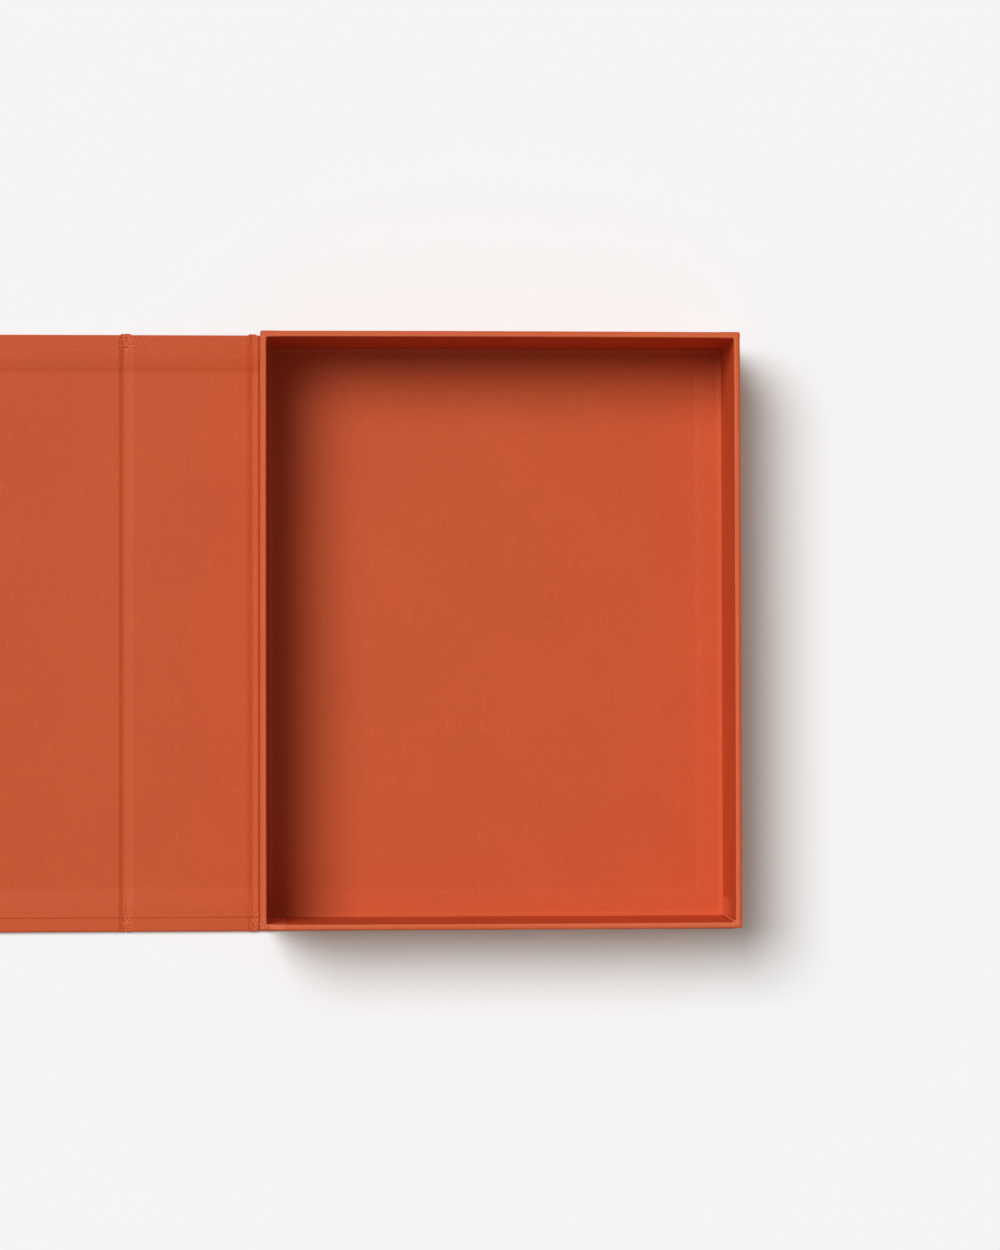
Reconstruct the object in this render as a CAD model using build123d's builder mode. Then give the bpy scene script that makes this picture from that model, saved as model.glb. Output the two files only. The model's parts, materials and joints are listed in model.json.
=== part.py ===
from build123d import *
import os

# A storage box of cloth-covered greyboard, lying open flat like a book: a deep tray glued
# to the back of a hinged case. +X runs from the cover to the tray, +Y to the head, +Z up.
# The origin is on the table under the middle of the tray.

os.makedirs("parts", exist_ok=True)

# Sheet goods
board_t = 2.5  # greyboard of the tray and the case
cloth_t = 0.3  # book cloth on its paper backing

# Tray
inside_w = 244.5  # hinge wall to fore-edge wall
inside_l = 305.5  # tail wall to head wall
inside_d = 60.3  # floor cloth to rim
wrap_under = 15.0  # wrap cloth turned under the tray
wrap_floor = 12.0  # wrap cloth turned onto the floor
floor_margin = 2.0  # floor lining short of the walls
corner_r = 0.5  # rounding of the covered edges

# Case
square = 4.35  # covered case edge beyond the tray
tray_groove = 8.65  # spine board to tray
cover_groove = 8.0  # cover board to spine board
turn_in_head = 18.3  # outer cloth folded over the boards
turn_in_tail = 20.9
turn_in_fore = 18.0
lining_head = 5.1  # bare turn-in left beyond the lining
lining_tail = 7.2
lining_fore = 5.0

# Clearances
spine_gap = 2.2  # closed spine to the tray's hinge wall
lid_gap = 0.4  # closed cover to the rim
fold_gap = 0.2  # between the cloths of two panels at their fold line

# Levels, from the table up: outer cloth, board, turn-in, lining
groove_top = 3 * cloth_t
board_z = cloth_t
turn_in_z = board_z + board_t
lining_z = turn_in_z + cloth_t
panel_top = lining_z + cloth_t

# Tray levels: wrap cloth underneath, floor board, floor cloth
tray_z = panel_top
tray_board_z = tray_z + cloth_t
floor_z = tray_board_z + board_t
floor_top = floor_z + cloth_t
rim_z = floor_top + inside_d

# Tray outlines in plan
covered_wall = board_t + 2 * cloth_t
tray_w = inside_w + 2 * covered_wall
tray_l = inside_l + 2 * covered_wall
wall_in_w = inside_w + 2 * cloth_t
wall_in_l = inside_l + 2 * cloth_t
wall_out_w = tray_w - 2 * cloth_t
wall_out_l = tray_l - 2 * cloth_t

# The folds lie at the top of the groove cloths. The spine stands up against the tray's
# hinge wall and the cover then lies on the rim, so both folds and the spine follow.
fold_z = groove_top
panel_rise = panel_top - fold_z
tray_fold_x = -tray_w / 2 - panel_rise - spine_gap
spine_right = -tray_w / 2 - tray_groove
spine_start = tray_fold_x - spine_right
fold_to_spine = cover_groove / 2
spine_w = rim_z + lid_gap + panel_rise - fold_z - spine_start - fold_to_spine
spine_left = spine_right - spine_w
cover_fold_x = spine_left - fold_to_spine

# Case outlines in plan: the closed cover ends level with the back board
case_end_y = tray_l / 2 + square
case_board_y = case_end_y - cloth_t
back_left = -tray_w / 2
back_right = tray_w / 2 + square - cloth_t
cover_right = spine_left - cover_groove
closed_cover_start = tray_fold_x + (cover_fold_x - cover_right)
cover_left = cover_right - (back_right - closed_cover_start)

# Lines at head and tail where the turn-ins and the linings end
head_in = case_end_y - turn_in_head
tail_in = -case_end_y + turn_in_tail
head_lining = case_end_y - lining_head
tail_lining = -case_end_y + lining_tail


def block(x0, x1, y0, y1, z0, z1, mode=Mode.ADD):
    """A flat board or pocket between two corners, in the part being built."""
    with BuildSketch(Plane.XY.offset(z0)) as plan:
        with Locations(((x0 + x1) / 2, (y0 + y1) / 2)):
            Rectangle(x1 - x0, y1 - y0)
    extrude(plan.sketch, amount=z1 - z0, mode=mode)


def over_board(x0, x1, climb_x0, climb_x1, lift, under=None):
    """Side outline, in XZ, of a cloth from x0 to x1 that lies lift above the outer cloth.

    It climbs out of a groove onto the board at climb_x0 and goes down into the next at
    climb_x1. None there means no groove. With under given, it is solid down to that.
    """
    groove = cloth_t + lift
    top = turn_in_z + lift
    below = [(x0, top), (x1, top)]
    above_right = [(x1, top + cloth_t)]
    above_left = [(x0, top + cloth_t)]
    if climb_x0 is not None:
        wall = climb_x0 - lift
        below[:1] = [(x0, groove), (wall, groove), (wall, top)]
        above_left = [(wall - cloth_t, top + cloth_t), (wall - cloth_t, groove + cloth_t)]
        above_left.append((x0, groove + cloth_t))
    if climb_x1 is not None:
        wall = climb_x1 + lift
        below[-1:] = [(wall, top), (wall, groove), (x1, groove)]
        above_right = [(x1, groove + cloth_t), (wall + cloth_t, groove + cloth_t)]
        above_right.append((wall + cloth_t, top + cloth_t))
    if under is not None:
        below = [(x0, under), (x1, under)]
    return below + above_right + above_left


def run(y0, y1, x0, x1, climb_x0, climb_x1, lift=0.0, under=None):
    """The side outline above, carried from y0 to y1."""
    with BuildSketch(Plane.XZ.offset(-y1)) as side:
        with BuildLine():
            Polyline(*over_board(x0, x1, climb_x0, climb_x1, lift, under), close=True)
        make_face()
    extrude(side.sketch, amount=y1 - y0)


def outer_cloth(x0, x1, climb_x0, climb_x1):
    """Outer cloth of a case panel: under the board, round its edges and turned in."""
    board_x0 = x0 + cloth_t if climb_x0 is None else climb_x0
    board_x1 = x1 - cloth_t if climb_x1 is None else climb_x1
    window_x0 = x0 + turn_in_fore if climb_x0 is None else x0
    window_x1 = x1 - turn_in_fore if climb_x1 is None else x1
    run(-case_end_y, case_end_y, x0, x1, climb_x0, climb_x1, under=0.0)
    block(board_x0, board_x1, -case_board_y, case_board_y, board_z, turn_in_z, Mode.SUBTRACT)
    block(window_x0, window_x1, tail_in, head_in, cloth_t, lining_z, Mode.SUBTRACT)


def lining(x0, x1, climb_x0, climb_x1):
    """Lining of a case panel: flat on the board, and a step up where it covers turn-ins."""
    covered_fore = turn_in_fore - lining_fore
    flat_x0 = x0 + covered_fore if climb_x0 is None else x0
    flat_x1 = x1 - covered_fore if climb_x1 is None else x1
    run(tail_in, head_in, flat_x0, flat_x1, climb_x0, climb_x1)
    run(head_in - cloth_t, head_lining, x0, x1, climb_x0, climb_x1, lift=cloth_t)
    run(tail_lining, tail_in + cloth_t, x0, x1, climb_x0, climb_x1, lift=cloth_t)
    if climb_x0 is None:
        block(x0, flat_x0 + cloth_t, tail_lining, head_lining, lining_z, panel_top)
    if climb_x1 is None:
        block(flat_x1 - cloth_t, x1, tail_lining, head_lining, lining_z, panel_top)


# Case back, under the tray
back_start = tray_fold_x + fold_gap / 2
back_end = back_right + cloth_t
with BuildPart() as back_board:
    block(back_left, back_right, -case_board_y, case_board_y, board_z, turn_in_z)

with BuildPart() as back_cloth:
    outer_cloth(back_start, back_end, back_left, None)
    fore_corners = back_cloth.edges().filter_by(Axis.Z).group_by(Axis.X)[-1]
    fillet(fore_corners, corner_r)

with BuildPart() as back_lining:
    lining(back_start, back_end - lining_fore, back_left, None)

# Spine
spine_cloth_left = cover_fold_x + fold_gap / 2
spine_cloth_right = tray_fold_x - fold_gap / 2
with BuildPart() as spine_board:
    block(spine_left, spine_right, -case_board_y, case_board_y, board_z, turn_in_z)

with BuildPart() as spine_cloth:
    outer_cloth(spine_cloth_left, spine_cloth_right, spine_left, spine_right)

with BuildPart() as spine_lining:
    lining(spine_cloth_left, spine_cloth_right, spine_left, spine_right)

# Cover
cover_start = cover_left - cloth_t
cover_end = cover_fold_x - fold_gap / 2
with BuildPart() as cover_board:
    block(cover_left, cover_right, -case_board_y, case_board_y, board_z, turn_in_z)

with BuildPart() as cover_cloth:
    outer_cloth(cover_start, cover_end, None, cover_right)
    fore_corners = cover_cloth.edges().filter_by(Axis.Z).group_by(Axis.X)[0]
    fillet(fore_corners, corner_r)

with BuildPart() as cover_lining:
    lining(cover_start + lining_fore, cover_end, None, cover_right)

# Tray boards: the walls stand round the floor, head and tail walls across the full width
wall_top = rim_z - cloth_t
with BuildPart() as tray_floor_board:
    with BuildSketch(Plane.XY.offset(tray_board_z)):
        Rectangle(wall_in_w, wall_in_l)
    extrude(amount=board_t)

with BuildPart() as head_wall_board:
    block(-wall_out_w / 2, wall_out_w / 2, wall_in_l / 2, wall_out_l / 2, tray_board_z, wall_top)

with BuildPart() as tail_wall_board:
    block(-wall_out_w / 2, wall_out_w / 2, -wall_out_l / 2, -wall_in_l / 2, tray_board_z, wall_top)

with BuildPart() as hinge_wall_board:
    block(-wall_out_w / 2, -wall_in_w / 2, -wall_in_l / 2, wall_in_l / 2, tray_board_z, wall_top)

with BuildPart() as fore_edge_wall_board:
    block(wall_in_w / 2, wall_out_w / 2, -wall_in_l / 2, wall_in_l / 2, tray_board_z, wall_top)

# Tray wrap: one cloth under the foot, up the outside, over the rim and onto the floor
with BuildPart() as tray_wrap_cloth:
    with BuildSketch(Plane.XY.offset(tray_z)):
        RectangleRounded(tray_w, tray_l, corner_r)
    extrude(amount=rim_z - tray_z)
    with BuildSketch(Plane.XY.offset(floor_top)):
        Rectangle(inside_w, inside_l)
    extrude(amount=inside_d, mode=Mode.SUBTRACT)
    fillet(tray_wrap_cloth.faces().sort_by(Axis.Z)[-1].edges(), cloth_t)
    with BuildSketch(Plane.XY.offset(tray_board_z)):
        Rectangle(wall_out_w, wall_out_l)
    extrude(amount=board_t, mode=Mode.SUBTRACT)
    with BuildSketch(Plane.XY.offset(floor_z)):
        Rectangle(wall_out_w, wall_out_l)
        Rectangle(wall_in_w, wall_in_l, mode=Mode.SUBTRACT)
    extrude(amount=wall_top - floor_z, mode=Mode.SUBTRACT)
    with BuildSketch(Plane.XY.offset(floor_z)):
        Rectangle(inside_w - 2 * wrap_floor, inside_l - 2 * wrap_floor)
    extrude(amount=cloth_t, mode=Mode.SUBTRACT)
    with BuildSketch(Plane.XY.offset(tray_z)):
        Rectangle(tray_w - 2 * wrap_under, tray_l - 2 * wrap_under)
    extrude(amount=cloth_t, mode=Mode.SUBTRACT)

# Floor lining: flat in the middle, and a step up where it covers the wrap's edge
with BuildPart() as tray_floor_lining:
    with BuildSketch(Plane.XY.offset(floor_z)):
        Rectangle(inside_w - 2 * wrap_floor, inside_l - 2 * wrap_floor)
    extrude(amount=cloth_t)
    step_in = wrap_floor + cloth_t
    with BuildSketch(Plane.XY.offset(floor_top)):
        Rectangle(inside_w - 2 * floor_margin, inside_l - 2 * floor_margin)
        Rectangle(inside_w - 2 * step_in, inside_l - 2 * step_in, mode=Mode.SUBTRACT)
    extrude(amount=cloth_t)

pieces = {
    "back_board": back_board,
    "back_cloth": back_cloth,
    "back_lining": back_lining,
    "spine_board": spine_board,
    "spine_cloth": spine_cloth,
    "spine_lining": spine_lining,
    "cover_board": cover_board,
    "cover_cloth": cover_cloth,
    "cover_lining": cover_lining,
    "tray_floor_board": tray_floor_board,
    "head_wall_board": head_wall_board,
    "tail_wall_board": tail_wall_board,
    "hinge_wall_board": hinge_wall_board,
    "fore_edge_wall_board": fore_edge_wall_board,
    "tray_wrap_cloth": tray_wrap_cloth,
    "tray_floor_lining": tray_floor_lining,
}
for name, piece in pieces.items():
    piece.part.label = name
    export_step(piece.part, f"parts/{name}.step")

print("tray outside", tray_w, tray_l, rim_z - tray_z)
print("case panels", back_right - back_left, spine_w, cover_right - cover_left)
print("tray fold at x", tray_fold_x, "cover fold at x", cover_fold_x, "both at z", fold_z)
print("rim at z", rim_z, "open length", back_end - cover_start, "case length", 2 * case_end_y)
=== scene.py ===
# %% [markdown]
# # A cloth-covered storage box, dressed
#
# The box lies open like a book: a deep tray stands on the right, and the spine and the
# cover of its hinged case lie flat on the left. The frame holds the greyboards, the folds
# and the plain cloth solids. This script makes the cloth itself, which is all that shows:
# the wrap of the tray, the outer cloth of the case with its turned-in edges, and the
# linings.

# %% The frame
import json
from math import pi, radians, sin

import bmesh
import bpy
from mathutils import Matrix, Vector, noise

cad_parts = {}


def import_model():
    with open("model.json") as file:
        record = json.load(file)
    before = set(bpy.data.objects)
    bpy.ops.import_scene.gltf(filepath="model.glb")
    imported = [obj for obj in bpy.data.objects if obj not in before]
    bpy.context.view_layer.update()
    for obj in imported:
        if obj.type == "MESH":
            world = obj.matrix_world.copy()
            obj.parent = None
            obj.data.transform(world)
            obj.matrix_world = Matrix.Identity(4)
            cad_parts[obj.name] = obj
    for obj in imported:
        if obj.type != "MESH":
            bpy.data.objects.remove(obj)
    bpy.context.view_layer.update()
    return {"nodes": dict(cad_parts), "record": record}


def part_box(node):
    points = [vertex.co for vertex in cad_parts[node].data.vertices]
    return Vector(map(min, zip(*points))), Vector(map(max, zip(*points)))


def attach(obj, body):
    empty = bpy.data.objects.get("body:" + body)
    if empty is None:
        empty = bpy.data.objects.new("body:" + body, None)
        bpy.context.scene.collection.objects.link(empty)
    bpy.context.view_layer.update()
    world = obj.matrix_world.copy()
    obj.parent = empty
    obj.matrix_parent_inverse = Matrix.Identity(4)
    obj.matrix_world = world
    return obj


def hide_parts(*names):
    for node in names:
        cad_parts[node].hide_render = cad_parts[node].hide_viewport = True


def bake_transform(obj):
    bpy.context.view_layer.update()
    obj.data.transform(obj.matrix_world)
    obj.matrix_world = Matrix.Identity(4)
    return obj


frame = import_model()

# %% [markdown]
# ## Measures
#
# A bookbinder works in millimetres, so every shape is made in millimetres and scaled to
# metres when it is done. The sizes could be typed in again, but then the cloth would no
# longer fit if a board changed, so they are read from the frame. The cloth is as thick as
# the gap between the table and the back board, which lies on it. Only what the frame
# doesn't tell, such as how far the wrap runs under the foot, is a number here.

# %% Board sizes, read from the frame
MM = 0.001


def span(node, axis):
    """Lowest and highest place of a frame node along x, y or z (0, 1, 2), in mm."""
    low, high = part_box(node)
    return low[axis] / MM, high[axis] / MM


board_low, board_high = span("back_board", 2)
cloth = board_low
board = board_high - board_low
back_left = span("back_board", 0)[0]
spine_left, spine_right = span("spine_board", 0)
cover_right = span("cover_board", 0)[1]
case_left, case_right = span("cover_cloth", 0)[0], span("back_cloth", 0)[1]
case_end = span("back_cloth", 1)[1]
print(f"cloth {cloth:.2f}, board {board:.2f}, case from x {case_left:.1f} to {case_right:.1f}")

# %% Levels and turned-in edges of the case
turned_in = board_high + cloth
lining_tail, lining_head = span("back_lining", 1)
lining_left, lining_right = span("cover_lining", 0)[0], span("back_lining", 0)[1]
turn_head, turn_tail, turn_fore = 18.3, 20.9, 18.0
edge_head, edge_tail = case_end - turn_head, turn_tail - case_end
edge_cover, edge_back = case_left + turn_fore, case_right - turn_fore
print(f"turned-in cloth ends at y {edge_tail:.1f} and {edge_head:.1f}")

# %% Tray sizes
tray_foot, rim = span("tray_wrap_cloth", 2)
tray_half_x = span("tray_wrap_cloth", 0)[1]
tray_half_y = span("tray_wrap_cloth", 1)[1]
floor_cloth = span("tray_floor_board", 2)[1] + cloth
wall = board + 2 * cloth
inside_x, inside_y = tray_half_x - wall, tray_half_y - wall
wrap_under, wrap_floor = 15.0, 12.0
print(f"tray {2 * tray_half_x:.1f} by {2 * tray_half_y:.1f}, rim at {rim:.1f}")

# %% The two folds
fold = {j["name"]: Vector(j["pos_m"]) / MM for j in frame["record"]["behaviour"]["joints"]}
tray_fold, cover_fold = fold["spine_fold"].x, fold["cover_fold"].x
spine_middle = (spine_left + spine_right) / 2
print(f"folds at x {tray_fold:.1f} and {cover_fold:.1f}")

# %% [markdown]
# ## Camera
#
# The box is seen almost straight down from nearly 1.9 m through a long lens, so that the
# walls of the tray show only as narrow bands. The place could be found by trial. It was
# worked out from the corners of the rim and of the floor instead, which lie at two
# heights. The camera comes first, because every later choice is judged through it.

# %% Camera
lens = bpy.data.cameras.new("overhead")
lens.lens = 99.5
lens.sensor_width = 36.0
camera = bpy.data.objects.new("overhead", lens)
bpy.context.scene.collection.objects.link(camera)
camera.location = (-0.09188, -0.04027, 1.86397)
camera.rotation_euler = (radians(1.367), radians(-2.898), radians(-0.122))
bpy.context.scene.camera = camera
print("camera", [round(c, 3) for c in camera.location], "lens", round(lens.lens, 1))

# %% [markdown]
# ## Tools for cloth
#
# A loose cloth would be draped by a cloth simulation. Book cloth is glued flat, so there
# is little for a simulation to do. It is shaped as the binder shapes it: a flat sheet,
# folded along straight lines and pressed down with a bone folder. In bmesh a fold is an
# edge that is extruded and moved, a crease line is a cut across the sheet with
# bisect_plane, and the pressing is a small move of the points.

# %% A flat sheet and a fold
def flat_sheet(x0, x1, y0, y1, z):
    """A one-faced sheet between two corners."""
    bm = bmesh.new()
    bmesh.ops.create_grid(bm, x_segments=1, y_segments=1, size=0.5)
    bmesh.ops.scale(bm, vec=(x1 - x0, y1 - y0, 1), verts=bm.verts)
    bmesh.ops.translate(bm, vec=((x0 + x1) / 2, (y0 + y1) / 2, z), verts=bm.verts)
    return bm


def fold_on(bm, edges, move):
    """Carries the sheet on from these edges, and moves each new point by move(place)."""
    made = bmesh.ops.extrude_edge_only(bm, edges=edges)["geom"]
    points = {g for g in made if isinstance(g, bmesh.types.BMVert)}
    for point in points:
        point.co = Vector(move(point.co.copy()))
    return [g for g in made if isinstance(g, bmesh.types.BMEdge) and set(g.verts) <= points]


def is_fold(edge, least=1.0):
    """True where two faces meet at more than this angle, in radians."""
    return not edge.is_boundary and edge.calc_face_angle() > least


# %% Crease lines
def cut_across(bm, point, normal):
    """Cuts every face that crosses the plane through this point."""
    everything = bm.verts[:] + bm.edges[:] + bm.faces[:]
    bmesh.ops.bisect_plane(bm, geom=everything, dist=0.001, plane_co=point, plane_no=normal)


def crease_at(bm, axis, places):
    """Cuts the sheet across at these places along x, y or z (0, 1, 2)."""
    normal = Vector((0, 0, 0))
    normal[axis] = 1
    for place in places:
        cut_across(bm, normal * place, normal)


def steps(start, end, size):
    """Evenly spread places from start to end, about size apart."""
    count = max(1, round((end - start) / size))
    return [start + (end - start) * i / count for i in range(count + 1)]


print("crease lines over 10 mm, 4 mm apart:", [round(s, 1) for s in steps(0, 10, 4)])

# %% Rounding and thickness
def round_folds(bm, edges, radius, segments):
    """Bevels the folds, because cloth never turns over a board as a sharp line."""
    bmesh.ops.bevel(
        bm, geom=edges, offset=radius, segments=segments,
        profile=0.5, affect="EDGES", material=-1,
    )


def thicken(bm, thickness):
    """Gives the sheet its thickness, away from its face side."""
    bmesh.ops.solidify(bm, geom=bm.faces[:], thickness=thickness)


# %% Soft shapes
def soft(t):
    """0 below 0, 1 above 1, and a smooth curve between."""
    t = min(1.0, max(0.0, t))
    return t * t * (3 - 2 * t)


def hump(t):
    """0 at both ends of 0 to 1, and 1 in the middle."""
    return soft(2 * t) * soft(2 - 2 * t)


def uneven(place, size, seed=0.0):
    """A smooth unevenness from about -1 to 1, with bumps about size apart."""
    return noise.noise(Vector(place) / size + Vector((seed, 0.37 * seed, 5.0)))


print("soft and hump at a quarter:", round(soft(0.25), 3), round(hump(0.25), 3))

# %% [markdown]
# ## Weave, wear and painted light, written on the mesh
#
# Linen on a real box turns with the cloth, and its wear lies where hands and folds were.
# Some of the paler edges are a painted highlight besides, and some specks are painted
# shade. A material could guess all of it from the shape, but it can't tell a rim from a
# wall. So they are written on the mesh. Every face gets a map, in millimetres of the plane
# it lies in, which carries the weave round the folds. Each point gets three marks, 0 for
# none and 1 or more for much, which functions work out from its place: how pale it is
# painted, for wear and as a highlight, how far it lies inside the tray, where light bounces
# about, and how much the cloth was pinched there, which gives pale specks and dark specks
# of painted shade.

# %% Weave map and marks
def map_weave(bm):
    layer = bm.loops.layers.uv.new("weave_mm")
    for face in bm.faces:
        flat_axis = max(range(3), key=lambda a: abs(face.normal[a]))
        for loop in face.loops:
            x, y, z = loop.vert.co
            loop[layer].uv = ((y, z), (x, z), (x, y))[flat_axis]


def mark_points(bm, name, amount):
    layer = bm.verts.layers.float.new(name)
    for point in bm.verts:
        point[layer] = amount(point.co)


# %% Inside the tray
def past_tray_side(place):
    """How far a place lies beyond the outside of the tray, and less than 0 inside it."""
    return max(abs(place.x) - tray_half_x, abs(place.y) - tray_half_y)


def enclosed(place):
    """1 on the tray's floor, 0.6 on its walls, where light bounces about, and 0 outside."""
    beyond = past_tray_side(place) + 0.8 * wall
    if place.z < tray_foot + 1:
        return 0.0
    on_floor = place.z < floor_cloth + 1.6
    return (1 - soft(beyond / (0.6 * wall))) * (1.0 if on_floor else 0.6)


print("enclosed in the middle of the floor:", enclosed(Vector((0, 0, floor_cloth))))

# %% Pinched spots, each with its x, its y and its reach
pinched_spots = [
    (tray_half_x - 1.5, tray_half_y - 4, 3.5),
    (1.5 - tray_half_x, 3 - tray_half_y, 6.5),
    (tray_half_x - 4, 1.5 - tray_half_y, 3.5),
    (tray_fold + 2, 6 - case_end, 7),
    (cover_fold + 0.5, case_end - 4.5, 6),
    (cover_fold + 0.5, 6 - case_end, 5),
    (-141, 152, 4),
    (-158, 152.5, 3),
]


def pale_and_shade_specks(place):
    """1 at the corners and groove ends where the cloth was pinched, 0 away from them. There it gets
    pale specks, and dark specks of painted shade.
    """
    on_underside = place.z < 1
    on_tray_wall = 4 < place.z < rim - 2
    if on_underside or on_tray_wall:
        return 0.0
    near = [
        1 - Vector((place.x - x, place.y - y)).length / reach for x, y, reach in pinched_spots
    ]
    return soft(2 * max(near))


print("pinched spots", len(pinched_spots))

# %% Finish a piece
def finish_piece(name, bm, nodes, wear_and_highlight):
    """Scales the sheet to metres and makes it an object that stands for frame nodes."""
    bmesh.ops.recalc_face_normals(bm, faces=bm.faces[:])
    map_weave(bm)
    # The first mark paints edges paler, for wear and as a painted highlight; the last one places
    # pale specks and dark specks of painted shade.
    mark_points(bm, "wear_and_highlight", wear_and_highlight)
    mark_points(bm, "enclosed", enclosed)
    mark_points(bm, "pale_and_shade_specks", pale_and_shade_specks)
    bmesh.ops.scale(bm, vec=(MM, MM, MM), verts=bm.verts)
    mesh = bpy.data.meshes.new(name)
    bm.to_mesh(mesh)
    bm.free()
    mesh.shade_smooth()
    mesh.set_sharp_from_angle(angle=radians(50))
    piece = bpy.data.objects.new(name, mesh)
    bpy.context.scene.collection.objects.link(piece)
    if nodes:
        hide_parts(*nodes)
    print(name, len(mesh.polygons), "faces")
    return piece


# %% [markdown]
# ## Tray wrap
#
# One strip of cloth goes round the tray. It starts under the foot, climbs the outside,
# turns over the rim, runs down the inside and ends on the floor. Four flat walls could
# each get their own sheet, but then the corners would have to be joined. So a ring of
# four edges is carried along that route, one fold at a time, and the corners are mitred
# by themselves. The fold at the floor is wider than the others, because the cloth bridges
# that corner.

# %% Carry a ring of edges along the wall
wrap = flat_sheet(-1, 1, -1, 1, tray_foot)
bmesh.ops.delete(wrap, geom=wrap.faces[:], context="FACES_ONLY")


def ring_at(inset, height):
    """A move that sends each corner of the ring to inset from the tray's outside."""
    def move(place):
        x = tray_half_x - inset
        y = tray_half_y - inset
        return (x if place.x > 0 else -x, y if place.y > 0 else -y, height)
    return move


start_of_wrap = ring_at(wrap_under, tray_foot)
for point in wrap.verts:
    point.co = start_of_wrap(point.co.copy())
route = [
    (0, tray_foot), (0, rim), (wall, rim), (wall, floor_cloth), (wall + wrap_floor, floor_cloth),
]
ring = wrap.edges[:]
for inset, height in route:
    ring = fold_on(wrap, ring, ring_at(inset, height))
print("wrap strips", len(wrap.faces))

# %% Turn the face side out
bmesh.ops.recalc_face_normals(wrap, faces=wrap.faces[:])
outside = max(wrap.faces, key=lambda f: f.calc_center_median().x)
if outside.normal.x < 0:
    bmesh.ops.reverse_faces(wrap, faces=wrap.faces[:])
print("outside faces", [round(c) for c in outside.normal])

# %% Find the folds of the wrap
def level_folds(bm, height):
    """Folds that run level at this height."""
    return [
        e for e in bm.edges
        if is_fold(e) and all(abs(v.co.z - height) < 0.01 for v in e.verts)
    ]


def on_ring(edge, inset):
    """True if both ends lie inset from the tray's outside."""
    return all(
        abs(abs(v.co.x) - (tray_half_x - inset)) < 0.01
        or abs(abs(v.co.y) - (tray_half_y - inset)) < 0.01
        for v in edge.verts
    )


# %% Round the folds of the wrap
floor_radius, inner_rim_radius, other_radius = 1.3, 0.55, 0.95
floor_folds = [e for e in level_folds(wrap, floor_cloth) if on_ring(e, wall)]
round_folds(wrap, floor_folds, floor_radius, 4)
inner_rim = [e for e in level_folds(wrap, rim) if on_ring(e, wall)]
round_folds(wrap, inner_rim, inner_rim_radius, 3)
round_folds(wrap, [e for e in wrap.edges if is_fold(e, 1.2)], other_radius, 5)
print("wrap faces after rounding", len(wrap.faces))

# %% [markdown]
# Real walls are never quite straight. The glued cloth pulls them outwards a hair, the rim
# is a little crowned, and the cloth lies uneven, most of all where it was folded together
# at the corners. A bump in the material would only fake this, so the points are moved. For
# that the wrap first needs more points: crease lines across it, close together at the rim.

# %% Crease lines on the wrap
crease_at(wrap, 0, steps(-tray_half_x + 2, tray_half_x - 2, 7))
crease_at(wrap, 1, steps(-tray_half_y + 2, tray_half_y - 2, 7))
crease_at(wrap, 2, [tray_foot + 1.5, 20, 34, 48, 60, rim - 3, rim - 1.6])
rim_lines = (wall / 2, wall - 0.9, 4, 4.7, 5.4, 6.2, 7.2)
for side in (-1, 1):
    for axis, half in ((0, tray_half_x), (1, tray_half_y)):
        crease_at(wrap, axis, [side * (half - e) for e in rim_lines])
print("wrap faces with crease lines", len(wrap.faces))

# %% Walls that are not perfectly straight
end_bow, side_bow, rim_crown = 0.2, 0.15, 0.05
lump, corner_lump = 0.05, 0.06


def settle_wall(point):
    """Bows the walls out, crowns the rim and makes the cloth uneven."""
    up = soft((point.co.z - floor_cloth) / (rim - floor_cloth))
    across = 1 - (point.co.x / tray_half_x) ** 2
    along = 1 - (point.co.y / tray_half_y) ** 2
    if abs(point.co.y) > inside_y - 1:
        point.co.y += end_bow * up * across * (1 if point.co.y > 0 else -1)
    if abs(point.co.x) > inside_x - 1:
        point.co.x += side_bow * up * along * (1 if point.co.x > 0 else -1)
    if point.co.z > rim - 0.1:
        point.co.z += rim_crown * hump(-past_tray_side(point.co) / wall)
    at_corner = soft((abs(point.co.x) - inside_x + 5) / 4)
    at_corner *= soft((abs(point.co.y) - inside_y + 5) / 4)
    lumps = lump * uneven(point.co, 11)
    lumps += corner_lump * at_corner * uneven(point.co, 1.6, 9)
    point.co += point.normal * lumps


wrap.normal_update()
for point in wrap.verts:
    settle_wall(point)
print("highest point of the rim", round(max(v.co.z for v in wrap.verts), 2))

# %% Finish the wrap
def paler_rim(place):
    """The rim is paler, most of all along its inner edge."""
    at_rim = soft((place.z - rim + 1.3) / 1.1)
    inwards = soft(-past_tray_side(place) / wall * 1.4 - 0.2)
    return at_rim * (0.35 + 0.65 * inwards)


wrap_skin = bpy.data.meshes.new("wrap_skin")
wrap.to_mesh(wrap_skin)
thicken(wrap, cloth)
tray_wrap = finish_piece("tray_wrap", wrap, ["tray_wrap_cloth"], paler_rim)
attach(tray_wrap, "tray")

# %% [markdown]
# ## Corner tabs of the wrap
#
# Where the turned-over cloth meets at a corner of the rim it is cut and overlapped, and
# the cut edge shows as a thin pale line, which is partly the cut cloth's lighter edge and
# partly a painted highlight. At the head both tabs run across the full width. At the tail
# the fore-edge tab comes round the inner corner and the hinge tab is cut on a slant. A tab
# could be modelled by itself, but it has to follow every fold below it. So each one is a
# copy of the wrap's own skin, trimmed by planes and lifted by less than its thickness.

# %% Trim a tab out of the skin
def distance(place, plane):
    """How far a place lies beyond a plane, given as a point on it and its normal."""
    point, normal = plane
    return (place - Vector(point)).dot(Vector(normal).normalized())


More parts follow.
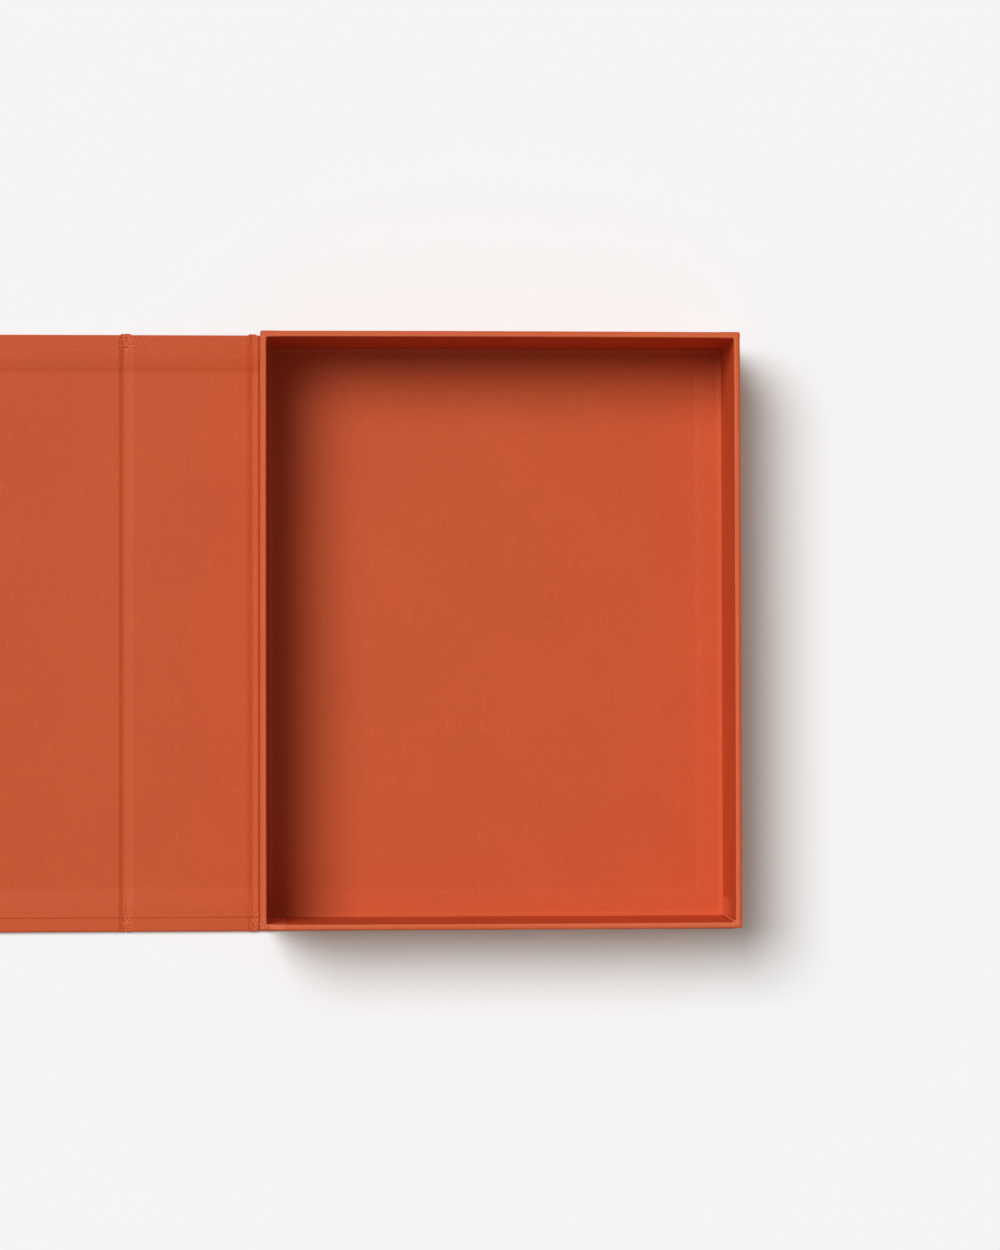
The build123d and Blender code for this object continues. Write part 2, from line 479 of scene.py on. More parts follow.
def trimmed_skin(planes, keep):
    """The wrap's skin, cut along the planes, without the faces that keep(middle) refuses."""
    bm = bmesh.new()
    bm.from_mesh(wrap_skin)
    for point, normal in planes:
        cut_across(bm, point, normal)
    gone = [f for f in bm.faces if not keep(f.calc_center_median())]
    bmesh.ops.delete(bm, geom=gone, context="FACES")
    bmesh.ops.remove_doubles(bm, verts=bm.verts[:], dist=0.12)
    return bm


# %% Lift a tab off the wrap
tab_foot = floor_cloth + 2.2
above_floor = ((0, 0, tab_foot), (0, 0, 1))
tab_lift, tab_dive, tab_cloth = 0.12, 0.28, 0.22
head_length, tail_length, dive_length = 16, 18, 9


def lift_tab(bm, seam, far, edge_width, proud):
    """Lifts a tab at its seam, and lets it dive under the wrap far off and outside."""
    bm.normal_update()
    lifts = {}
    for point in bm.verts:
        hidden = 1 - soft(-distance(point.co, far) / dive_length)
        if past_tray_side(point.co) > -0.3:
            hidden = max(hidden, soft((rim - 1 - point.co.z) / 4))
        at_edge = hump(-distance(point.co, seam) / edge_width) * (1 - hidden)
        lifts[point] = point.normal * (tab_lift - tab_dive * hidden + proud * at_edge)
    for point, lift in lifts.items():
        point.co += lift
    bm.normal_update()


def thicken_by_extrude(bm, thickness):
    """Thickens a sheet that has slivers, on which solidify would throw out spikes."""
    made = bmesh.ops.extrude_face_region(bm, geom=bm.faces[:], use_keep_orig=True)["geom"]
    bm.normal_update()
    inwards = {g: -thickness * g.normal for g in made if isinstance(g, bmesh.types.BMVert)}
    for point, move in inwards.items():
        point.co += move


# %% Make a corner tab
tabs = []


def corner_tab(name, seam, far, keep, others=(), edge_width=0.5, proud=0.0, pale_above=0.0):
    """A tab whose cut edge, at the seam, is pale: partly the lighter edge of the cut cloth, partly
    a painted highlight.
    """
    back = Vector(seam[1]).normalized()
    edge_lines = [(Vector(seam[0]) - part * edge_width * back, seam[1]) for part in (0.5, 1)]
    bm = trimmed_skin([seam, far, *edge_lines, above_floor, *others], keep)
    lift_tab(bm, seam, far, edge_width, proud)
    thicken_by_extrude(bm, tab_cloth)

    def wear_and_highlight_amount(place):
        if past_tray_side(place) > -0.6 or place.z < pale_above:
            return paler_rim(place)
        # The cut edge is painted paler, partly as the cut cloth's lighter edge and partly as a
        # painted highlight.
        cut_edge_and_highlight = 1.5 * (1 - soft(-distance(place, seam) / edge_width - 0.3))
        return max(paler_rim(place), cut_edge_and_highlight)

    tab = finish_piece(name, bm, [], wear_and_highlight_amount)
    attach(tab, "tray")
    tabs.append(tab)


def before(seam, far):
    """A test that keeps what lies before both planes and above the floor."""
    def keep(middle):
        return distance(middle, seam) < 0 and distance(middle, far) < 0 and middle.z > tab_foot
    return keep


# %% The two tabs at the head
seam = ((0, inside_y - 0.45, 0), (0, -1, 0))
for name, side in (("head_hinge_tab", -1), ("head_fore_tab", 1)):
    far = ((side * (tray_half_x - head_length), 0, 0), (-side, 0, 0))
    corner_tab(name, seam, far, before(seam, far), edge_width=0.9, pale_above=rim - 1)

# %% The tab at the tail and the fore edge
lean = 1.4 / (rim - floor_cloth)  # the edge leans 1.4 mm over the height of the wall
seam = ((inside_x - 0.1, 0, floor_cloth), (-1, 0, -lean))
far = ((0, -tray_half_y + tail_length, 0), (0, 1, 0))
corner_tab("tail_fore_tab", seam, far, before(seam, far), edge_width=0.9, proud=0.15)

# %% The slanted tab at the tail and the hinge
slant = ((-tray_half_x, -tray_half_y + 8, 0), (4.2, 3.6, 0))
slant_far = ((-tray_half_x + tail_length, 0, 0), (1, 0, 0))
on_hinge = ((-inside_x, 0, 0), (1, 0, 0))
on_tail = ((0, 0.3 - inside_y, 0), (0, 1, 0))


def inside_slanted(middle):
    if middle.z < tab_foot or distance(middle, slant_far) > 0:
        return False
    return distance(middle, slant if distance(middle, on_hinge) < 0 else on_tail) < 0


corner_tab("tail_hinge_tab", slant, slant_far, inside_slanted, (on_hinge, on_tail))
print("tabs", len(tabs))

# %% [markdown]
# In the corner of the tail and the fore edge the edge of the tab is turned over double.
# It stands up as a thick line that climbs the corner and crosses the rim, painted pale all
# along as a painted highlight, as if it caught the light. A curve with a bevel would give
# the same tube, but without the weave map. So a small ring of points is carried along the
# line, one step at a time.

# %% The doubled edge in the corner
line = [
    (inside_x - 0.6, 0.9 - inside_y, floor_cloth + 1.2),
    (inside_x - 0.6, 1.0 - inside_y, floor_cloth + 9),
    (inside_x - 0.9, 0.9 - inside_y, floor_cloth + 24),
    (inside_x - 1.0, 0.8 - inside_y, floor_cloth + 42),
    (inside_x - 0.7, 0.5 - inside_y, rim - 4),
    (inside_x - 0.3, 0.25 - inside_y, rim - 0.45),
    (inside_x + 0.3, -0.9 - inside_y, rim - 0.1),
    (inside_x + 0.7, 1.1 - tray_half_y, rim - 0.15),
]
line = [Vector(point) for point in line]
edge_radius = 0.6
edge_bm = bmesh.new()
bmesh.ops.create_circle(edge_bm, cap_ends=False, radius=edge_radius, segments=8)
bmesh.ops.translate(edge_bm, vec=line[0], verts=edge_bm.verts)
ring = edge_bm.edges[:]
for start, end in zip(line, line[1:]):
    ring = fold_on(edge_bm, ring, lambda place: place + end - start)
bmesh.ops.holes_fill(edge_bm, edges=edge_bm.edges[:])


def painted_highlight_all_along(place):
    """The doubled edge is painted paler than any other, all along, as a painted highlight."""
    return 1.8


doubled_edge = finish_piece("tail_fore_doubled_edge", edge_bm, [], painted_highlight_all_along)
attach(doubled_edge, "tray")
tabs.append(doubled_edge)

# %% [markdown]
# ## Floor lining
#
# A sheet covers the floor and the ends of the wrap, which show through it as a very low
# step. Its last 2 mm curl up against the walls, where they catch the light as a bright
# line. Both could be left out, and the floor would look like a painted board. The sheet
# is cut along the step and along the curl, and its points are lifted.

# %% Lay out the floor lining
floor_margin, curl, curl_lift, step_soft = 0.1, 2.3, 0.95, 2.4
lining_x, lining_y = inside_x - floor_margin, inside_y - floor_margin
floor_sheet = flat_sheet(-lining_x, lining_x, -lining_y, lining_y, floor_cloth)
step_x, step_y = inside_x - wrap_floor, inside_y - wrap_floor
for side in (-1, 1):
    for half, axis, step in ((lining_x, 0, step_x), (lining_y, 1, step_y)):
        crease_at(floor_sheet, axis, [side * (step - b) for b in (0, step_soft / 2, step_soft)])
        crease_at(floor_sheet, axis, [side * (half - curl + p) for p in (-0.5, 0, 0.8, 1.6)])
crease_at(floor_sheet, 0, steps(-step_x + 3, step_x - 3, 12))
crease_at(floor_sheet, 1, steps(-step_y + 3, step_y - 3, 12))
print("floor sheet", len(floor_sheet.faces), "faces before it is thick")

# %% Lift the floor lining
def unrubbed(place):
    """The linings are out of reach of hands, so they get no paling, neither wear nor painted
    highlight.
    """
    return 0.0


for point in floor_sheet.verts:
    x, y, _ = point.co
    over_x = soft((abs(x) - step_x + step_soft) / step_soft)
    over_y = soft((abs(y) - step_y + step_soft) / step_soft)
    at_wall = max(abs(x) - lining_x, abs(y) - lining_y) + curl
    point.co.z += cloth * max(over_x, over_y) + curl_lift * max(0.0, at_wall / curl) ** 1.3
    # It lies a hair above the floor, and a little uneven.
    point.co.z += 0.04 * (1 + uneven(point.co, 40)) + 0.02
thicken(floor_sheet, cloth)
floor_lining = finish_piece(
    "floor_lining", floor_sheet, ["tray_floor_lining"], unrubbed
)
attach(floor_lining, "tray")

# %% [markdown]
# ## Grooves of the case
#
# Between the boards the cloth is pressed down, so that it can bend. The lining bridges
# the grooves more than it fills them: it slopes down from each board over about 3 mm, and
# lies less than 1 mm low. Only along the tray is there a narrow crease against the board.
# Each cloth could be sculpted by itself, but they lie on each other. So one function gives
# how far the cloth is pressed down at any place across the case, and all of them use it.

# %% How deep the cloth is pressed
cover_depth, tray_depth, crease_depth = 0.85, 0.62, 0.7
cover_slope, tray_slope, tray_rise_width, crease_width = 2.7, 3.3, 2.8, 0.7
cover_rise_start, cover_rise_end = cover_right + 3.4, spine_left + 0.2
board_edge = 0.3  # how far the cloth lies level past the edge of a board
ramp_top = back_left - 2.35


def slope(t):
    """From 0 to 1 in an even slope with softly rounded ends."""
    t = min(1.0, max(0.0, t))
    return 0.65 * t + 0.35 * soft(t)


def pressed(x):
    """How far the upper cloths are pressed down at this place across the case."""
    rise = max(0.0, (x - cover_rise_start) / (cover_rise_end - cover_rise_start)) ** 1.7
    cover_side = slope((x - cover_right - board_edge) / cover_slope) * (1 - slope(rise))
    tray_rise = slope((x - ramp_top + tray_rise_width) / tray_rise_width)
    tray_side = slope((x - spine_right - board_edge) / tray_slope) * (1 - tray_rise)
    crease = slope((x - ramp_top) / crease_width) * (x < back_left - 0.05)
    return cover_depth * cover_side + tray_depth * tray_side + crease_depth * crease


def in_groove(x):
    """0 on the boards, and up to 1 in the middle of a groove."""
    cover_side = hump((x - cover_right) / (spine_left - cover_right))
    tray_side = hump((x - spine_right) / (ramp_top - spine_right))
    return max(cover_side, tray_side)


# %% Lines across the grooves
groove_lines = steps(cover_right - 0.6, spine_left + 0.6, 0.4)
groove_lines += steps(spine_right - 0.6, back_left - 0.1, 0.4)
groove_lines += [back_left, back_left + 1]
deepest = max(pressed(x) for x in groove_lines)
print("groove lines", len(groove_lines), "deepest", round(deepest, 2))

# %% [markdown]
# ## Outer cloth of the case
#
# One sheet covers the underside of all three boards and is turned in over their edges. A
# single mesh could bend over one joint only. So it is made in two halves that meet in the
# middle of the spine, where it is flat and the join can't be seen. The free sides of a
# flat sheet are carried up the edges of the boards and then inwards. At the ends of the
# grooves there is no board to wrap, so the cloth bulges out a little and is crumpled.

# %% Fold one half of the outer cloth
case_radius = 1.0


def case_cloth(x_open, x_fore, fore_turn):
    """Half of the sheet, open in the middle of the spine and turned in on three sides."""
    x0, x1 = min(x_open, x_fore), max(x_open, x_fore)
    bm = flat_sheet(x0, x1, -case_end, case_end, 0)
    bm.faces.ensure_lookup_table()
    bm.faces[0].normal_flip()
    free = [e for e in bm.edges if any(abs(v.co.x - x_open) > 0.01 for v in e.verts)]
    free = fold_on(bm, free, lambda p: (p.x, p.y, turned_in))

    def turn_in(place):
        x = fore_turn if abs(place.x - x_fore) < 0.01 else place.x
        return (x, edge_head if place.y > 0 else edge_tail, turned_in)

    fold_on(bm, free, turn_in)
    round_folds(bm, [e for e in bm.edges if is_fold(e)], case_radius, 5)
    return bm


# %% Crumple the ends of the grooves
head_bulge, tail_bulge = 0.65, 0.25


def crumple(point):
    """Presses the cloth into the grooves, and bulges and wrinkles it at their ends."""
    x, y, z = point.co
    out = 1 if y > 0 else -1
    near_end = soft((abs(y) - case_end + 6) / 5)
    bell = in_groove(x)
    if z > 0.01:
        point.co.z = z * (1 - pressed(x) / turned_in)
    if near_end:
        # Wrinkles 2.4 mm apart, with a finer unevenness on them.
        ripple = 0.25 * sin(2 * pi * (x + 0.6 * out) / 2.4) + 0.5 * uneven((x, y, 0), 1.1, 3)
        point.co.z = max(0.0, point.co.z + bell * near_end * ripple * (z / turned_in))
        bulge = (head_bulge if out > 0 else tail_bulge) + 0.2 * uneven((x, 0, out), 1.6, 7)
        point.co.y += out * soft(1.8 * bell) * near_end * bulge


# %% Finish one half of the outer cloth
end_lines = [1.1, 1.6, 2.1, 2.6, 3.1, 3.6, 4.2, 4.8, 5.4, 6.2, 7.2, 8.4]


def case_wear(place):
    """The outer edges of the case are a little paler from wear."""
    beyond = max(abs(place.y) - case_end, place.x - case_right, case_left - place.x)
    return 0.25 * soft((beyond + 1.1) / 0.9)


def finish_case_cloth(name, bm, nodes):
    crease_at(bm, 0, groove_lines)
    crease_at(bm, 1, [case_end - e for e in end_lines] + [e - case_end for e in end_lines])
    for fore in (case_left, case_right):
        inward = 1 if fore < 0 else -1
        crease_at(bm, 0, [fore + inward * e for e in (1.3, 2.2, 3.4)])
    for point in bm.verts:
        crumple(point)
    thicken(bm, cloth)
    return finish_piece(name, bm, nodes, case_wear)


# %% Both halves of the outer cloth
outer_tray_side = finish_case_cloth(
    "outer_cloth_tray_side", case_cloth(spine_middle, case_right, edge_back),
    ["back_cloth", "spine_cloth"],
)
outer_cover_side = finish_case_cloth(
    "outer_cloth_cover_side", case_cloth(spine_middle, case_left, edge_cover),
    ["cover_cloth", "spine_cloth"],
)

# %% [markdown]
# ## Lining of the case
#
# The lining covers the boards and most of the turned-in cloth, whose edge shows through
# as a low step. A plain rectangle at one height would hide that step. So it is made like
# the outer cloth, in two halves that meet in the middle of the spine, and follows what
# lies under it. Its ends in the grooves are a little wavy, because it was cut before it
# was pressed down.

# %% Crease lines of the lining
lining_step = 0.8


def crease_lining(bm, x0, x1):
    """Cuts the sheet across the grooves, the steps and close to its own ends."""
    crease_at(bm, 0, [x for x in groove_lines if x0 < x < x1])
    backs = (0, lining_step / 2, lining_step)
    crease_at(bm, 1, [edge_head - b for b in backs] + [edge_tail + b for b in backs])
    crease_at(bm, 1, [lining_head - e for e in (0.35, 0.7, 1.1, 1.7, 2.6)])
    crease_at(bm, 1, [lining_tail + e for e in (0.35, 0.7, 1.1, 1.7, 2.6)])
    crease_at(bm, 0, [edge_cover + b for b in backs] + [edge_back - b for b in backs])
    crease_at(bm, 1, steps(edge_tail + 3, edge_head - 3, 14))


# %% Press the lining down
def press_lining(point):
    """Steps the lining over the turned-in cloth, and presses it into the grooves."""
    x, y, _ = point.co
    past_edges = (y - edge_head, edge_tail - y, edge_cover - x, x - edge_back)
    over_turn_in = max(soft((past + lining_step) / lining_step) for past in past_edges)
    point.co.z += cloth * over_turn_in - pressed(x)
    point.co.z += 0.12 * in_groove(x) * uneven((x, y, 0), 9, 2)
    # The cut ends are rubbed down flat, which leaves a low ridge beside them.
    to_edge = min(lining_head - y, y - lining_tail)
    point.co.z += 0.1 * hump(to_edge / 1.7) - 0.26 * (1 - soft(to_edge / 0.7))
    # In the grooves the ends are wavy.
    if to_edge < 2.7:
        point.co.z += 0.35 * in_groove(x) * uneven((x, y, 0), 1.3, 6)
        point.co.y += 0.35 * in_groove(x) * uneven((x, y, 0), 2.5, 4)


def case_lining(name, x0, x1, nodes):
    bm = flat_sheet(x0, x1, lining_tail, lining_head, turned_in)
    crease_lining(bm, x0, x1)
    for point in bm.verts:
        press_lining(point)
    thicken(bm, cloth)
    return finish_piece(name, bm, nodes, unrubbed)


# %% Both halves of the lining
lining_tray_side = case_lining(
    "lining_tray_side", spine_middle, lining_right, ["back_lining", "spine_lining"]
)
lining_cover_side = case_lining(
    "lining_cover_side", lining_left, spine_middle, ["cover_lining", "spine_lining"]
)

# %% [markdown]
# ## At the folds
#
# On the real box the cloth is the hinge: it bends in the groove while the boards stay
# flat. A cloth that rode on one board would tear away from the next. Here the cloths are
# not bent: each only has its place baked into its points.

# %% Bake the places of the cloths
def bend_over(piece):
    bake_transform(piece)


for piece in (outer_tray_side, lining_tray_side):
    bend_over(piece)
for piece in (outer_cover_side, lining_cover_side):
    bend_over(piece)
print("tray fold bends over", round(tray_fold - spine_right, 1), "mm")

# %% [markdown]
# ## How large each sheet was cut
#
# Before it was folded, the wrap was one strip round the four walls, with an overlap of
# 15 mm, as wide as its route from under the foot to its end on the floor. The other sheets
# were their board's size with the turned-in edges.

# %% [markdown]
# ## Weave
#
# The cloth is a plain-woven linen with about two threads in a millimetre, dyed through.
# Three things make it look like linen and not like paint: threads that pass over and
# under each other, slubs, which are short thick stretches of a thread, and a faint
# mottling from the dye and the glue. A photographed texture could show them, but it would
# repeat and carry its own light. Here they are worked out by nodes from the weave map. All
# cloths share them, so they go into a node group that puts out a tone and a height.

# %% Small helpers for nodes
def add(tree, kind, values=(), **settings):
    """Adds a node, sets its options and joins or sets its inputs, given as (input, value)."""
    node = tree.nodes.new(kind)
    for key, value in settings.items():
        setattr(node, key, value)
    for key, value in values:
        if isinstance(value, bpy.types.NodeSocket):
            tree.links.new(value, node.inputs[key])
        else:
            node.inputs[key].default_value = value
    return node


def calculate(tree, operation, *numbers, clamp=False):
    """Joins up to three numbers by a Math node."""
    values = list(enumerate(numbers))
    return add(tree, "ShaderNodeMath", values, operation=operation, use_clamp=clamp).outputs[0]


def weighted(tree, *parts):
    """The sum of some numbers, each times its weight."""
    scaled = [calculate(tree, "MULTIPLY", value, weight) for value, weight in parts]
    total = scaled[0]
    for part in scaled[1:]:
        total = calculate(tree, "ADD", total, part)
    return total


# %% More helpers for nodes
def between(tree, value, low, high, to_low=0.0, to_high=1.0):
    """Maps low to high onto to_low to to_high, smoothly and without going past them."""
    values = [
        ("Value", value), ("From Min", low), ("From Max", high),
        ("To Min", to_low), ("To Max", to_high),
    ]
    return add(tree, "ShaderNodeMapRange", values, interpolation_type="SMOOTHSTEP").outputs[0]


def cloudy(tree, place, scale, detail):
    """Soft clouds from 0 to 1."""
    values = [("Vector", place), ("Scale", scale), ("Detail", detail)]
    return add(tree, "ShaderNodeTexNoise", values).outputs["Fac"]


# %% The weave group and its sockets
weave = bpy.data.node_groups.new("linen weave", "ShaderNodeTree")
weave.interface.new_socket(name="Map", in_out="INPUT", socket_type="NodeSocketVector")
pitch = weave.interface.new_socket(name="Pitch", in_out="INPUT", socket_type="NodeSocketFloat")
pitch.default_value = 0.5
for name in ("Tone", "Height"):
    weave.interface.new_socket(name=name, in_out="OUTPUT", socket_type="NodeSocketFloat")
inlet = weave.nodes.new("NodeGroupInput")
outlet = weave.nodes.new("NodeGroupOutput")
map_mm = inlet.outputs["Map"]
print("weave group takes", [s.name for s in inlet.outputs if s.name])

# %% Threads that wander a little
wander_mm = (0.8, 0.8, 0.8)
drift = add(weave, "ShaderNodeTexNoise", [("Vector", map_mm), ("Scale", 0.11), ("Detail", 2.0)])
drift_both_ways = add(
    weave, "ShaderNodeVectorMath",
    [(0, drift.outputs["Color"]), (1, (0.5, 0.5, 0.5))], operation="SUBTRACT",
)
drifted = add(
    weave, "ShaderNodeVectorMath",
    [(0, drift_both_ways.outputs[0]), (1, wander_mm), (2, map_mm)], operation="MULTIPLY_ADD",
)
apart = add(weave, "ShaderNodeSeparateXYZ", [(0, drifted.outputs[0])])
across = calculate(weave, "DIVIDE", apart.outputs[0], inlet.outputs["Pitch"])
along = calculate(weave, "DIVIDE", apart.outputs[1], inlet.outputs["Pitch"])

# %% Threads that pass over and under
def thread_profile(count):
    """Height across a thread: 0 in the gaps and 1 on its back."""
    wave = calculate(weave, "SINE", calculate(weave, "MULTIPLY", count, pi))
    return calculate(weave, "ABSOLUTE", wave)


def raised(profile, on_top):
    """A thread stands at its full height on top, and at 0.4 of it below."""
    return calculate(weave, "MULTIPLY", profile, calculate(weave, "MULTIPLY_ADD", on_top, 0.6, 0.4))


warp_number, weft_number = calculate(weave, "FLOOR", across), calculate(weave, "FLOOR", along)
crossing = calculate(weave, "ADD", warp_number, weft_number)
over = calculate(weave, "PINGPONG", crossing, 1.0)
under = calculate(weave, "SUBTRACT", 1.0, over)
warp_height = raised(thread_profile(across), over)
weft_height = raised(thread_profile(along), under)
threads = calculate(weave, "MAXIMUM", warp_height, weft_height)

# %% Slubs
def slubs(stretch, seed):
    """Sparse streaks, long one way and one thread wide the other."""
    values = [("Vector", map_mm), ("Location", seed), ("Scale", stretch)]
    stretched = add(weave, "ShaderNodeMapping", values)
    return between(weave, cloudy(weave, stretched.outputs[0], 1.0, 1.5), 0.60, 0.74)


warp_slubs = slubs((0.09, 1.25, 1.0), (3, 0, 0))
weft_slubs = slubs((1.25, 0.07, 1.0), (0, 7, 0))
slub = calculate(weave, "MAXIMUM", warp_slubs, weft_slubs)

# %% Mottling, tone and height
dye_clouds, glue_clouds = cloudy(weave, map_mm, 0.016, 4.0), cloudy(weave, map_mm, 0.35, 3.0)
fibres = cloudy(weave, map_mm, 2.6, 2.0)
mottle = weighted(weave, (dye_clouds, 0.45), (glue_clouds, 0.3), (fibres, 0.25))
tone = weighted(weave, (mottle, 0.75), (threads, 0.22))
tone = calculate(weave, "ADD", tone, calculate(weave, "MULTIPLY", slub, 0.22), clamp=True)
height = weighted(weave, (threads, 0.6), (slub, 0.4))
weave.links.new(tone, outlet.inputs["Tone"])
weave.links.new(height, outlet.inputs["Height"])
print("weave group nodes", len(weave.nodes))

# %% [markdown]
# ## Cloth finishes
#
# The same dyed cloth covers everything, in a burnt orange. One flat colour would look like
# plastic. So the colour is picked between a deep and a pale thread by the weave's tone.
# Edges are paler: the case's outer edges from wear, the rim along its inner edge, the tabs'
# cut edges partly as a painted highlight and the doubled edge as a painted highlight. Where
# the cloth was pinched there are pale specks, and dark specks of painted shade. The weave
# raises the surface by less than a tenth of a millimetre, and its roughness gives the
# slight shine of starched linen. The lining is the calmer side.

# %% Colours of the cloth
deep_thread, pale_thread = (0.485, 0.062, 0.012, 1), (0.69, 0.110, 0.028, 1)
# A dark red used as painted shade in the specks of crumpled cloth.
painted_shade_colour = (0.30, 0.025, 0.004, 1)
# Paler colours used for wear and for painted highlights alike.
wear_and_highlight_cloth, wear_and_highlight_lining = (0.78, 0.17, 0.065, 1), (0.76, 0.15, 0.055, 1)


def mix_colours(tree, factor, first, second, blend_type="MIX"):
    """Goes from the first colour to the second as the factor goes from 0 to 1."""
    values = [("Factor", factor), (6, first), (7, second)]
    return add(tree, "ShaderNodeMix", values, data_type="RGBA", blend_type=blend_type).outputs[2]


def mark(tree, name):
    """Reads one of the marks that were written on the mesh."""
    return add(tree, "ShaderNodeAttribute", attribute_name=name).outputs["Fac"]


print("threads from", deep_thread[:3], "to", pale_thread[:3])

# %% Colour the threads, with wear, painted highlights and painted shade
def thread_colour(tree, tone, place, wear_and_highlight):
    """The colour of the threads, with paler edges for wear and painted highlight, pale specks, and
    dark specks of painted shade.
    """
    dyed = mix_colours(tree, tone, deep_thread, pale_thread)
    patchy = between(tree, tone, 0.3, 0.7, 0.35, 0.8)
    # Paler edges stand for wear and, at the tab edges and the doubled edge, a painted highlight.
    wear_and_highlight_amount = calculate(tree, "MULTIPLY", mark(tree, "wear_and_highlight"), patchy)
    specks, pinched = cloudy(tree, place, 1.15, 1.0), mark(tree, "pale_and_shade_specks")
    pale_specks = calculate(tree, "MULTIPLY", between(tree, specks, 0.56, 0.66), pinched)
    # Dark specks darken the pinched spots as painted shade of the crumpled cloth.
    painted_shade_specks = calculate(tree, "MULTIPLY", between(tree, specks, 0.44, 0.34), pinched)
    wear_and_highlight_amount = calculate(tree, "MAXIMUM", wear_and_highlight_amount, pale_specks)
    painted_shade_amount = calculate(tree, "MULTIPLY", painted_shade_specks, 0.75)
    return mix_colours(tree, wear_and_highlight_amount, mix_colours(tree, painted_shade_amount, dyed, painted_shade_colour), wear_and_highlight)


# %% [markdown]
# A saturated cloth throws a deep red light on whatever is close to it, deeper than the
# cloth looks itself. In the tray that glow is redder, and outside, on the white paper, it
# is weaker than the plain colour would give. A light path node tells the material when
# light only bounces off it, and there, and only there, the colour is tinted. The camera
# never sees the tint itself.

# %% Tint of the bounced light
outdoor_tint, indoor_tint = (0.6, 0.9, 1.0, 1), (1.12, 0.8, 0.9, 1)


def tint_bounces(tree, colour):
    passed_on = mix_colours(tree, mark(tree, "enclosed"), outdoor_tint, indoor_tint)
    bounced = add(tree, "ShaderNodeLightPath").outputs["Is Diffuse Ray"]
    return mix_colours(tree, bounced, colour, passed_on, blend_type="MULTIPLY")


# %% Book cloth and lining
def cloth_finish(name, wear_and_highlight, pitch, relief):
    """Dyed linen with this thread pitch in mm and this strength of its relief."""
    finish = bpy.data.materials.new(name)
    finish.use_nodes = True
    tree = finish.node_tree
    shader = tree.nodes["Principled BSDF"]
    shader.inputs["Specular IOR Level"].default_value = 0.26
    place = add(tree, "ShaderNodeUVMap", uv_map="weave_mm").outputs[0]
    linen = add(tree, "ShaderNodeGroup", [("Map", place), ("Pitch", pitch)], node_tree=weave)
    tone, height = linen.outputs["Tone"], linen.outputs["Height"]
    colour = tint_bounces(tree, thread_colour(tree, tone, place, wear_and_highlight))
    tree.links.new(colour, shader.inputs["Base Color"])
    tree.links.new(between(tree, height, 0.0, 1.0, 0.64, 0.54), shader.inputs["Roughness"])
    relief_values = [("Height", height), ("Strength", relief), ("Distance", 0.00009)]
    bump = add(tree, "ShaderNodeBump", relief_values)
    tree.links.new(bump.outputs[0], shader.inputs["Normal"])
    return finish


# %% Dress the pieces
book_cloth = cloth_finish("burnt orange book cloth", wear_and_highlight_cloth, 0.5, 0.55)
lining_cloth = cloth_finish("burnt orange lining", wear_and_highlight_lining, 0.46, 0.45)
for piece in [tray_wrap, outer_tray_side, outer_cover_side] + tabs:
    piece.data.materials.append(book_cloth)
for piece in (floor_lining, lining_tray_side, lining_cover_side):
    piece.data.materials.append(lining_cloth)
print("cloth finishes", book_cloth.name, "and", lining_cloth.name)

# %% [markdown]
# ## Greyboard
#
# The boards are pressed from waste paper: grey, matte, with darker and paler flecks and
# short fibres. Cloth hides them, so a plain grey would do for the picture. They are in the
# model all the same, so they are finished too, with fine flecks over broad clouds.

# %% Greyboard
greyboard = bpy.data.materials.new("greyboard")
greyboard.use_nodes = True
tree = greyboard.node_tree
shader = tree.nodes["Principled BSDF"]
shader.inputs["Specular IOR Level"].default_value = 0.2
place = add(tree, "ShaderNodeTexCoord").outputs["Object"]
flecks, clouds = cloudy(tree, place, 900.0, 6.0), cloudy(tree, place, 40.0, 3.0)
amount = weighted(tree, (flecks, 0.7), (clouds, 0.3))
dark_grey, pale_grey = (0.20, 0.19, 0.17, 1), (0.38, 0.36, 0.32, 1)
grey = mix_colours(tree, between(tree, amount, 0.35, 0.65), dark_grey, pale_grey)
tree.links.new(grey, shader.inputs["Base Color"])
tree.links.new(between(tree, amount, 0.3, 0.7, 0.95, 0.85), shader.inputs["Roughness"])
felt = add(tree, "ShaderNodeBump", [("Height", amount), ("Strength", 0.4), ("Distance", 0.0001)])
tree.links.new(felt.outputs[0], shader.inputs["Normal"])
boards = [o for name, o in frame["nodes"].items() if name.endswith("_board")]
for item in boards:
    item.data.materials.clear()
    item.data.materials.append(greyboard)
print("boards finished", len(boards))

# %% [markdown]
# ## Light
#
# The main light is a broad soft one from the upper left, high up. An area lamp would fade
# across the picture, so it is a sun lamp with a wide angle, which is even everywhere. The
# rest comes from above, as from a white ceiling: a world that is bright overhead and fades
# evenly to nothing at the horizon. The lean and the width of the main light were chosen by
# the shadows beside the tray, and its share by how dark they are.

# %% Main light
level, main_share = 0.88, 0.80
lean_x, lean_y = 0.455, 0.355
towards_light = Vector((-lean_x, lean_y, 1)).normalized()
lamp = bpy.data.lights.new("soft window", "SUN")
lamp.angle = radians(33)
lamp.energy = level * main_share * pi / towards_light.z
window = bpy.data.objects.new("soft window", lamp)
window.rotation_euler = towards_light.to_track_quat("Z", "Y").to_euler()
bpy.context.scene.collection.objects.link(window)
print("main light from", [round(c, 2) for c in towards_light])

